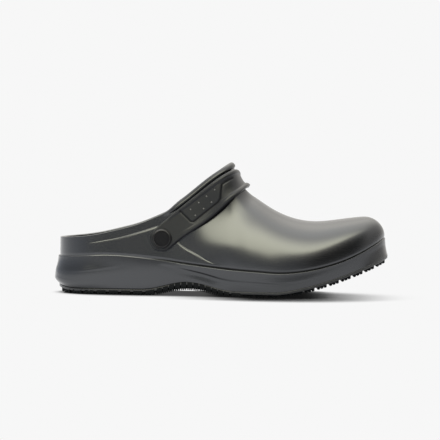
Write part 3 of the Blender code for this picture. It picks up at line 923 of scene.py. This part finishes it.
# Insole: a loose liner of foam faced with black knitted cloth that lies in the footbed.
# Its edge is pressed thin where it meets the walls.
INSOLE_DEPTH = 3.5
INSOLE_END_SHARE = 0.018
INSOLE_EDGE_GAP = 0.45
INSOLE_FIRST_SWEEP = math.radians(36)
INSOLE_CROWDING = 1.6
INSOLE_ROUND = 2.4
INSOLE_COLUMNS = 150
INSOLE_ROWS = 30


def liner_face(depth):
    """A face of the liner, its top rising from the thin edge to the given depth."""

    def surface(u, v, side):
        along = INSOLE_END_SHARE + (1 - 2 * INSOLE_END_SHARE) * share(np.pi * u)
        turn = turn_at(along)
        sweep = INSOLE_FIRST_SWEEP + (np.pi / 2 - INSOLE_FIRST_SWEEP) * v**INSOLE_CROWDING
        point = cup_point(turn, side, sweep, GAP, INSOLE_EDGE_GAP)
        brim = cup_point(turn, side, np.full(len(turn), INSOLE_FIRST_SWEEP), GAP, INSOLE_EDGE_GAP)
        from_side = np.linalg.norm(point - brim, axis=-1)
        from_end = np.minimum(u, 1 - u) * LAST_LENGTH / 2
        edge = quarter_round(from_side / INSOLE_ROUND) * quarter_round(from_end / INSOLE_ROUND)
        point[:, 2] += depth * edge
        return point

    return surface


liner_sheets = [(INSOLE_COLUMNS, INSOLE_ROWS, liner_face(depth)) for depth in (0.0, INSOLE_DEPTH)]
liner = weld("cloth_liner", liner_sheets)


def knitted_cloth():
    """Fine black knit: two crossing waves of yarn with a little fuzz."""
    material, paint, shader, place = new_finish("knitted_cloth")
    waves = {"wave_type": "BANDS", "wave_profile": "SIN"}
    ribs = {"Vector": place, "Scale": 180.0}
    courses = {"Vector": place, "Scale": 120.0}
    along = paint.make("ShaderNodeTexWave", {**waves, "bands_direction": "X"}, ribs)
    across = paint.make("ShaderNodeTexWave", {**waves, "bands_direction": "Y"}, courses)
    fuzz = noise(paint, place, 900.0, 3.0)
    yarn = along * across
    dark = (0.008, 0.008, 0.009, 1.0)
    pale = (0.030, 0.030, 0.032, 1.0)
    blend(paint, 0.7 * yarn + 0.3 * fuzz, dark, pale).into(shader, "Base Color")
    (0.85 + 0.15 * (fuzz - 0.5)).into(shader, "Roughness")
    roughen(paint, shader, yarn + 0.4 * fuzz, 0.6, 0.0004)
    return material


liner.data.materials.append(knitted_cloth())
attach(liner, "root")
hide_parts("insole")

# Heel strap: one moulded foam band, turned forward over the instep, with a round eye at each end.
# A roll runs along each edge, and a grooved outline on each side frames a field of small nubs.
STRAP_STANDOFF = 0.7
STRAP_DEPTH = 3.0
STRAP_THINNING = 0.35
STRAP_THIN_START = (60.0, 95.0)
STRAP_EDGE_ROUND = 1.3
STRAP_LONGEST_REACH = 120.0
STRAP_COLUMNS = 170
STRAP_CROWDING = 1.4
STRAP_SPREAD = 0.08
STRAP_FOLLOW = 0.3
STRAP_SPREAD_START = (42.0, 90.0)
STRAP_LIFT = 1.4
STRAP_LIFT_EDGE = (0.55, 1.0)
STRAP_LIFT_START = (55.0, 90.0)
STRAP_ROWS_ACROSS = 56

# Strap from the rivet to the top of the instep: share of the way, shift and half width
STRAP_ROWS = [
    (0.00, 0.0, 10.2),
    (0.15, -0.3, 10.6),
    (0.28, 0.7, 11.5),
    (0.60, 0.7, 10.7),
    (0.85, 2.0, 9.8),
    (1.00, 4.0, 9.0),
]

# Rolls along the strap's edges at a reach from the rivet: width and height of the upper and the lower one
ROLLS = [
    (-12.0, 2.4, 0.0, 4.2, 0.0),
    (14.0, 2.4, 0.0, 4.2, 0.0),
    (30.0, 3.2, 0.9, 4.2, 0.3),
    (60.0, 4.0, 1.4, 4.4, 1.1),
    (85.0, 4.0, 0.7, 4.6, 1.7),
    (130.0, 4.0, 0.2, 4.6, 1.8),
]

# Side field of the strap: its grooved outline and the nubs in it, as reach and shift from the rivet
FIELD_OUTLINE = [
    (27.0, -8.6),
    (28.6, 4.4),
    (30.2, 5.9),
    (57.0, 5.9),
    (60.4, 4.6),
    (68.4, -3.6),
    (76.8, -3.1),
]
FIELD_GROOVE = 0.5
FIELD_GROOVE_WIDTH = 0.6
# Painted shade along the outline's groove: how dark and how wide
FIELD_SHADE = 0.9
FIELD_SHADE_WIDTH = 0.75
NUB_ROWS = [(-3.9, (34.9, 43.9, 52.4, 61.2)), (2.6, (34.9, 43.9, 52.6))]
NUB_RADIUS = 0.65
NUB_HEIGHT = 0.45
# Nubs coloured much paler than the strap's foam: a painted glint on each small dome
NUB_GLINT_DARK = (0.07, 0.07, 0.07, 1.0)
NUB_GLINT_PALE = (0.12, 0.12, 0.12, 1.0)

strap_shift_at, strap_half_width_at = smooth_columns(STRAP_ROWS)
upper_width_at, upper_height_at, lower_width_at, lower_height_at = smooth_columns(ROLLS)


def strap_spot(shift, reach):
    """Side-view place of a strap point: its shift across the strap and its reach along it."""
    x = RIVET_X + reach * math.cos(STRAP_SLOPE) + shift * math.sin(STRAP_SLOPE)
    z = RIVET_Z + reach * math.sin(STRAP_SLOPE) - shift * math.cos(STRAP_SLOPE)
    return x, z


def strap_reach_to_top(shift):
    """Reach along the strap at which it crosses the instep's ridge."""

    def above_ridge(reach):
        x, z = strap_spot(shift, reach)
        return z - top_at(along_at(x))

    return solve(above_ridge, 0, STRAP_LONGEST_REACH, np.zeros(len(shift)))


def distance_to_path(reach, shift, path):
    """Distance on the strap from points to a path of straight stretches."""
    nearest = np.full(len(reach), np.inf)
    for start, end in zip(path, path[1:]):
        run = np.array(end) - np.array(start)
        part = ((reach - start[0]) * run[0] + (shift - start[1]) * run[1]) / (run @ run)
        part = np.clip(part, 0, 1)
        away = np.hypot(reach - start[0] - run[0] * part, shift - start[1] - run[1] * part)
        nearest = np.minimum(nearest, away)
    return nearest


def strap_relief(reach, shift, from_upper, from_lower):
    """Height of the strap's mouldings over its plain face."""
    rolls = np.maximum(upper_height_at(reach), 0) * half_round(from_upper, upper_width_at(reach))
    rolls += np.maximum(lower_height_at(reach), 0) * half_round(from_lower, lower_width_at(reach))
    groove = distance_to_path(reach, shift, FIELD_OUTLINE) / FIELD_GROOVE_WIDTH
    return rolls - FIELD_GROOVE * np.exp(-(groove**2))


def strap_point(reach, shift, side, offset, at_top=False):
    """A point at an offset from the upper, spread outwards where the strap turns over the instep."""
    x, z = strap_spot(shift, reach)
    along = along_at(x)
    turn = turn_at(along)
    lift = np.where(at_top, np.pi / 2, lift_at_height(along, z))
    near = upper_point(turn, lift, side)
    spread = (near - upper_point(turn, lift, -side)) / 2 * STRAP_SPREAD
    spread = spread * ramp(reach, *STRAP_SPREAD_START)[:, None]
    stand = offset - STRAP_FOLLOW * hollow(near)
    return near + spread + upper_normal(turn, lift, side) * stand[:, None]


def strap_place(u, v):
    """Reach and shift of a point of the strap, and its distance from each edge."""
    part = u**STRAP_CROWDING
    across = -np.cos(np.pi * v)
    half_width = strap_half_width_at(part)
    shift = strap_shift_at(part) + across * half_width
    start = -strap_half_width_at(0.0) * np.sqrt(np.maximum(0, 1 - across**2))
    reach = start + (strap_reach_to_top(shift) - start) * np.sin(part * np.pi / 2)
    return reach, shift, (1 + across) * half_width, (1 - across) * half_width


def strap_shade(u, v):
    """How much painted shade a point of the strap gets, by its distance from the field's grooved outline.
    """
    reach, shift, _, _ = strap_place(u, v)
    from_groove = distance_to_path(reach, shift, FIELD_OUTLINE) / FIELD_SHADE_WIDTH
    return FIELD_SHADE * np.exp(-(from_groove**2))


def strap_face(outer):
    """The strap's outer or inner face, which meet along the middle of its rounded edge."""

    def surface(u, v, side):
        reach, shift, from_upper, from_lower = strap_place(u, v)
        from_end = strap_half_width_at(0.0) - np.hypot(np.minimum(reach, 0), shift)
        from_edge = np.minimum(from_upper, from_lower)
        from_edge = np.where(reach < 0, np.minimum(from_end, from_edge), from_edge)
        depth = STRAP_DEPTH * (1 - STRAP_THINNING * ramp(reach, *STRAP_THIN_START))
        half_depth = depth / 2 * quarter_round(from_edge / STRAP_EDGE_ROUND)
        across = from_upper / (from_upper + from_lower)
        lifted = STRAP_LIFT * ramp(across, *STRAP_LIFT_EDGE) * ramp(reach, *STRAP_LIFT_START)
        middle = STRAP_STANDOFF + depth / 2 + lifted
        if outer:
            offset = middle + half_depth + strap_relief(reach, shift, from_upper, from_lower)
        else:
            offset = middle - half_depth
        rim = (v == 0) | (v == 1) | (u == 0)
        return strap_point(reach, shift, side, np.where(rim, middle, offset), u == 1)

    return surface


strap_sheets = [
    (STRAP_COLUMNS, STRAP_ROWS_ACROSS, strap_face(True), strap_shade),
    (STRAP_COLUMNS, STRAP_ROWS_ACROSS, strap_face(False)),
]
strap = weld("foam_strap", strap_sheets)


def side_frame(x, z, side):
    """A point of the upper's side and the direction out of it there."""
    along = along_at(np.array([x]))
    turn = turn_at(along)
    lift = lift_at_height(along, np.array([z]))
    return Vector(upper_point(turn, lift, side)[0]), Vector(upper_normal(turn, lift, side)[0])


def stand_at(thing, spot, axis):
    """Stands an object's own Z axis along a direction at a spot, and settles it there."""
    thing.location = spot * MM
    thing.rotation_mode = "QUATERNION"
    thing.rotation_quaternion = axis.to_track_quat("Z", "Y")
    bpy.ops.object.select_all(action="DESELECT")
    thing.select_set(True)
    bpy.context.view_layer.objects.active = thing
    bpy.ops.object.transform_apply(location=True, rotation=True, scale=True)


bpy.ops.mesh.primitive_uv_sphere_add(segments=20, ring_count=12, radius=NUB_RADIUS * MM)
pattern = bpy.context.object
pattern.scale.z = NUB_HEIGHT / NUB_RADIUS
face = np.array([STRAP_STANDOFF + STRAP_DEPTH])
nubs = []
for side in SIDES:
    for shift, reaches in NUB_ROWS:
        for reach in reaches:
            spot = strap_point(np.array([reach]), np.array([shift]), side, face)
            _, axis = side_frame(*strap_spot(shift, reach), side)
            nubs.append(copy_of(pattern))
            stand_at(nubs[-1], Vector(spot[0]), axis)
bpy.data.objects.remove(pattern)
nub_field = join("strap_nubs", nubs)
bpy.ops.object.shade_smooth()

strap.data.materials.append(moulded_foam("strap_foam", FOAM_DARK, FOAM_PALE, 0.34, 0.04, 0.38))
# The nubs' pale colour is a painted glint
nub_field.data.materials.append(moulded_foam("nub_foam", NUB_GLINT_DARK, NUB_GLINT_PALE, 0.3, 0.05, 0.5))
for piece in (strap, nub_field):
    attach(piece, "root")
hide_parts("heel_strap")

# Rivets: one turned plastic button at each side that pins the strap to the shell.
# A head with a wide bevel stands on the strap, and a shank runs through to a flange inside the shoe.
SHANK_RADIUS = 3.0
HEAD_RADIUS = 8.4
HEAD_DEPTH = 2.6
HEAD_LIP = 0.5
HEAD_BEVEL = 1.1
HEAD_ROUND = 0.2
EDGE_ROUND = 0.15
FLANGE_RADIUS = 6.5
FLANGE_DEPTH = 1.6
FLANGE_ROUND = 0.4
BADGE_RADIUS = 6.6
BADGE_DEPTH = 0.9
BUTTON_DARK = (0.004, 0.004, 0.005, 1.0)
BUTTON_PALE = (0.006, 0.006, 0.007, 1.0)
TURN_STEPS = 72
TURN_CREASE = math.radians(40)
rivet_seat = STRAP_STANDOFF + STRAP_DEPTH + GAP
rivet_head = rivet_seat + HEAD_DEPTH
rivet_back = -WALL - GAP


def turn_piece(name, profile):
    """A solid turned from a profile of radius and height, by pushing a disc up ring by ring."""
    radius, height = profile[0]
    bpy.ops.mesh.primitive_circle_add(vertices=TURN_STEPS, radius=radius * MM, fill_type="NGON")
    piece = bpy.context.object
    piece.name = name
    bpy.ops.object.mode_set(mode="EDIT")
    bpy.ops.mesh.select_all(action="SELECT")
    bpy.ops.transform.translate(value=(0, 0, height * MM))
    for wider, higher in profile[1:]:
        bpy.ops.mesh.extrude_region_move(TRANSFORM_OT_translate={"value": (0, 0, (higher - height) * MM)})
        grow = wider / radius
        bpy.ops.transform.resize(value=(grow, grow, 1), center_override=(0, 0, 0))
        radius, height = wider, higher
    bpy.ops.mesh.select_all(action="SELECT")
    bpy.ops.mesh.normals_make_consistent(inside=False)
    bpy.ops.object.mode_set(mode="OBJECT")
    bpy.ops.object.shade_smooth_by_angle(angle=TURN_CREASE)
    return piece


RIVET_PROFILE = [
    (FLANGE_RADIUS - FLANGE_ROUND, rivet_back - FLANGE_DEPTH),
    (FLANGE_RADIUS, rivet_back - FLANGE_DEPTH + FLANGE_ROUND),
    (FLANGE_RADIUS, rivet_back),
    (SHANK_RADIUS, rivet_back),
    (SHANK_RADIUS, rivet_seat),
    (HEAD_RADIUS - HEAD_ROUND, rivet_seat),
    (HEAD_RADIUS, rivet_seat + HEAD_ROUND),
    (HEAD_RADIUS, rivet_seat + HEAD_LIP),
    (HEAD_RADIUS - EDGE_ROUND, rivet_seat + HEAD_LIP + 2 * EDGE_ROUND),
    (HEAD_RADIUS - HEAD_BEVEL, rivet_head - EDGE_ROUND),
    (HEAD_RADIUS - HEAD_BEVEL - HEAD_ROUND, rivet_head),
    (BADGE_RADIUS + GAP, rivet_head),
    (BADGE_RADIUS + GAP, rivet_head - BADGE_DEPTH),
]


def hard_plastic(name, dark, pale, clouds, roughness, unevenness, specular):
    """Hard black plastic, faintly clouded in tone and gloss."""
    material, paint, shader, place = new_finish(name, specular)
    cloud = noise(paint, place, *clouds)
    blend(paint, cloud, dark, pale).into(shader, "Base Color")
    (roughness + unevenness * (cloud - 0.5)).into(shader, "Roughness")
    return material


plastic = hard_plastic("button_plastic", BUTTON_DARK, BUTTON_PALE, (120.0, 3.0), 0.3, 0.1, 0.5)
for side, word in ((LATERAL, "lateral"), (MEDIAL, "medial")):
    button = turn_piece(word + "_button", RIVET_PROFILE)
    stand_at(button, *side_frame(RIVET_X, RIVET_Z, side))
    button.data.materials.append(plastic)
    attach(button, "root")
    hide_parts("rivet_" + word)

# Badges: a plain glossy black disc pressed into each rivet's head, slightly domed.
# A fine ring is cut near its rim.
BADGE_DOME = 0.15
BADGE_RING = 0.12
badge_base = rivet_head - BADGE_DEPTH + GAP
BADGE_PROFILE = [
    (BADGE_RADIUS, badge_base),
    (BADGE_RADIUS, rivet_head - EDGE_ROUND),
    (BADGE_RADIUS - EDGE_ROUND, rivet_head),
    (BADGE_RADIUS * 0.86, rivet_head + BADGE_DOME * 0.25),
    (BADGE_RADIUS * 0.845, rivet_head + BADGE_DOME * 0.25 - BADGE_RING),
    (BADGE_RADIUS * 0.825, rivet_head + BADGE_DOME * 0.25 - BADGE_RING),
    (BADGE_RADIUS * 0.81, rivet_head + BADGE_DOME * 0.3),
    (BADGE_RADIUS * 0.6, rivet_head + BADGE_DOME * 0.64),
    (BADGE_RADIUS * 0.35, rivet_head + BADGE_DOME * 0.88),
    (BADGE_RADIUS * 0.1, rivet_head + BADGE_DOME),
]
GLOSS_DARK = (0.006, 0.006, 0.007, 1.0)
GLOSS_PALE = (0.010, 0.010, 0.011, 1.0)

gloss = hard_plastic("gloss_plastic", GLOSS_DARK, GLOSS_PALE, (300.0, 4.0), 0.14, 0.08, 0.2)
for side, word in ((LATERAL, "lateral"), (MEDIAL, "medial")):
    badge = turn_piece(word + "_disc", BADGE_PROFILE)
    stand_at(badge, *side_frame(RIVET_X, RIVET_Z, side))
    badge.data.materials.append(gloss)
    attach(badge, "root")
    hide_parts("badge_" + word)

# Studio: a plain white glowing floor, darkened round the shoe by a painted shadow from ambient-occlusion
# nodes, in a white surround with one wide softbox on the camera's side and a dark flag to the right of the
# camera.
FLOOR_SIZE = 40.0
WHITE = 0.93
# Painted light: the floor glows brighter to the shoe's reflections than to the camera, more on the left
MIRRORED_LEFT = (1.25, 1.25, 1.25, 1.0)
MIRRORED_RIGHT = (0.95, 0.95, 0.95, 1.0)
MIRRORED_EDGES = (-0.15, 0.1)
MIRRORED_CAST = 0.5
REAR_REACH = 0.034
FORE_REACH = 0.018
FORE_START = (-0.02, 0.03)
UNDER_LEAN = {"X": 0.0, "Y": 0.5, "Z": 0.85}
UNDER_EDGES = (0.15, 0.70)
CAST_REACH = 0.05
CAST_LEAN = {"X": -0.15, "Y": 1.0, "Z": -0.3}
CAST_EDGES = (0.66, 1.0)
CAST_START = (-0.06, 0.03)
SHADE = (0.007, 0.007, 0.007, 1.0)
ARCH_SHADE = (0.07, 0.07, 0.07, 1.0)
ARCH_START = (-0.07, -0.045)
ARCH_END = (-0.02, 0.0)
OPENNESS_SAMPLES = 32

bpy.ops.mesh.primitive_plane_add(size=FLOOR_SIZE, location=(0, 0, 0))
floor = bpy.context.object
floor.name = "studio_floor"
floor_material, paint, shader, place = new_finish("studio_floor", 0.0)
along = paint.make("ShaderNodeSeparateXYZ", {}, {0: place}, "X")


def node_ramp(paint, value, edges):
    """Smooth step of a value between two edges."""
    ends = {"From Min": edges[0], "From Max": edges[1]}
    return paint.make("ShaderNodeMapRange", {"interpolation_type": "SMOOTHSTEP"}, {"Value": value, **ends})


def mixed(start, end, part):
    """A value between two others."""
    return start + (end - start) * part


def openness(paint, lean, reach):
    """How much of the room towards a direction is free within a reach."""
    normal = paint.make("ShaderNodeCombineXYZ", {}, lean)
    inputs = {"Distance": reach, "Normal": normal}
    return paint.make("ShaderNodeAmbientOcclusion", {"samples": OPENNESS_SAMPLES}, inputs, "AO")


# Painted shadow on the floor: ambient-occlusion nodes darken its glow under and in front of the shoe
rear = openness(paint, UNDER_LEAN, REAR_REACH)
fore = openness(paint, UNDER_LEAN, FORE_REACH)
under = node_ramp(paint, mixed(rear, fore, node_ramp(paint, along, FORE_START)), UNDER_EDGES)
cast = node_ramp(paint, openness(paint, CAST_LEAN, CAST_REACH), CAST_EDGES)
seen = paint.make("ShaderNodeLightPath", {}, {}, "Is Camera Ray")
strength = node_ramp(paint, along, CAST_START) * mixed(MIRRORED_CAST, 1, seen)
lit = under * mixed(1, cast, strength)
mirrored = blend(paint, node_ramp(paint, along, MIRRORED_EDGES), MIRRORED_LEFT, MIRRORED_RIGHT)
bright = blend(paint, seen, mirrored, (WHITE, WHITE, WHITE, 1.0))
arch = node_ramp(paint, along, ARCH_START) * (1 - node_ramp(paint, along, ARCH_END))
shade = blend(paint, arch, SHADE, ARCH_SHADE)
blend(paint, lit, shade, bright).into(shader, "Emission Color")
shader.inputs["Emission Strength"].default_value = 1.0
shader.inputs["Base Color"].default_value = (0.0, 0.0, 0.0, 1.0)
floor.data.materials.append(floor_material)

# Radiance of the surround: level of each quarter of the horizon, of the dome above it and of the softbox,
# and the edges between which each sets in
FRONT = 0.27
BACK = 0.81
BACK_START = (-0.5, 0.5)
LEFT = 0.59
LEFT_START = (0.2, 0.95)
LEFT_FALL = 0.30
LEFT_FALL_EDGES = (0.05, 0.35)
RIGHT = 0.36
RIGHT_START = (0.5, 0.95)
RIGHT_RISE = 0.42
RIGHT_RISE_EDGES = (0.0, 0.3)
FLAG_DIRECTION = (0.70, -0.70, 0.14)
FLAG_EDGES = (0.72, 0.97)
DOME = 2.40
BACK_DOME = -0.60
BACK_DOME_START = (-0.2, 0.5)
RIGHT_DOME = -0.20
RIGHT_DOME_START = (0.2, 0.8)
DOME_EDGES = (0.25, 1.0)
SOFTBOX = 5.7
SOFTBOX_COLOUR = (1.0, 0.970, 0.73, 1.0)
COOL = (0.94, 1.0, 1.10, 1.0)
NEUTRAL = (1.03, 1.0, 0.95, 1.0)
NEUTRAL_START = (0.0, 0.8)
DOME_COLOUR = (1.035, 1.0, 0.91, 1.0)
SOFTBOX_FALL = (0.49, 1.0)
SOFTBOX_FRONT_SLOPE = 0.375
SOFTBOX_RIGHT_SLOPE = 0.58
SOFTBOX_EDGE = (-0.02, 0.06)
SOFTBOX_FLOOR = (0.20, 0.30)
SOFTBOX_LEFT = math.radians(-35)
SOFTBOX_RIGHT = math.radians(72)
SOFTBOX_LEFT_EDGE = (-0.04, 0.10)
SOFTBOX_RIGHT_EDGE = (-0.15, 0.45)

world = bpy.data.worlds.new("surround")
bpy.context.scene.world = world
world.use_nodes = True
sky = Paint(world.node_tree)
seen = sky.make("ShaderNodeLightPath", {}, {}, "Is Camera Ray")
direction = sky.make("ShaderNodeTexCoord", {}, {}, "Generated")
x, y, z = (sky.make("ShaderNodeSeparateXYZ", {}, {0: direction}, axis) for axis in "XYZ")
flag = FLAG_DIRECTION[0] * x + FLAG_DIRECTION[1] * y + FLAG_DIRECTION[2] * z
left = LEFT - LEFT_FALL * node_ramp(sky, z, LEFT_FALL_EDGES)
right = RIGHT + RIGHT_RISE * node_ramp(sky, z, RIGHT_RISE_EDGES)
around = mixed(FRONT, BACK, node_ramp(sky, y, BACK_START))
around = mixed(around, left, node_ramp(sky, 0 - x, LEFT_START))
around = mixed(around, right, node_ramp(sky, x, RIGHT_START))
around = around * (1 - node_ramp(sky, flag, FLAG_EDGES))
dome = DOME + BACK_DOME * node_ramp(sky, y, BACK_DOME_START)
dome = dome + RIGHT_DOME * node_ramp(sky, x, RIGHT_DOME_START)
dome = dome * node_ramp(sky, z, DOME_EDGES)
edge = z + SOFTBOX_FRONT_SLOPE * y - SOFTBOX_RIGHT_SLOPE * x
box = node_ramp(sky, edge, SOFTBOX_EDGE) * node_ramp(sky, z, SOFTBOX_FLOOR)
box = box * node_ramp(sky, math.cos(SOFTBOX_LEFT) * x + math.sin(SOFTBOX_LEFT) * y, SOFTBOX_LEFT_EDGE)
box = box * node_ramp(sky, -math.cos(SOFTBOX_RIGHT) * x - math.sin(SOFTBOX_RIGHT) * y, SOFTBOX_RIGHT_EDGE)
level = SOFTBOX * (1 - node_ramp(sky, z, SOFTBOX_FALL))
ambient = world.node_tree.nodes["Background"]
hue = blend(sky, node_ramp(sky, x + y, NEUTRAL_START), COOL, NEUTRAL)
blend(sky, seen, hue, (1.0, 1.0, 1.0, 1.0)).into(ambient, "Color")
mixed(around, WHITE, seen).into(ambient, "Strength")
unseen = 1 - seen
overhead = sky.make("ShaderNodeBackground", {}, {"Color": DOME_COLOUR, "Strength": dome * unseen})
warm = sky.make("ShaderNodeBackground", {}, {"Color": SOFTBOX_COLOUR, "Strength": box * level * unseen})
above = sky.make("ShaderNodeAddShader", {}, {0: overhead, 1: warm})
whole = sky.make("ShaderNodeAddShader", {}, {0: Paint(sky.tree, ambient.outputs[0]), 1: above})
whole.into(world.node_tree.nodes["World Output"], "Surface")

# Camera: a long lens, almost level, square to the shoe's side
CAMERA_DISTANCE = 1.6
CAMERA_ELEVATION = math.radians(4)
CAMERA_ROLL = math.radians(0.8)
FRAME_WIDTH = 0.3843
AIM = Vector((-0.00265, 0.0045, 0.0639))
SENSOR = 36.0

camera_data = bpy.data.cameras.new("camera")
camera_data.sensor_width = SENSOR
camera_data.lens = SENSOR * CAMERA_DISTANCE / FRAME_WIDTH
camera = bpy.data.objects.new("camera", camera_data)
stand = Vector((0.0, -math.cos(CAMERA_ELEVATION), math.sin(CAMERA_ELEVATION)))
camera.location = stand * CAMERA_DISTANCE
camera.rotation_mode = "QUATERNION"
aim = (AIM - camera.location).to_track_quat("-Z", "Y")
camera.rotation_quaternion = aim @ Quaternion((0, 0, 1), CAMERA_ROLL)
bpy.context.scene.collection.objects.link(camera)
bpy.context.scene.camera = camera
bpy.context.scene.view_settings.view_transform = "Standard"
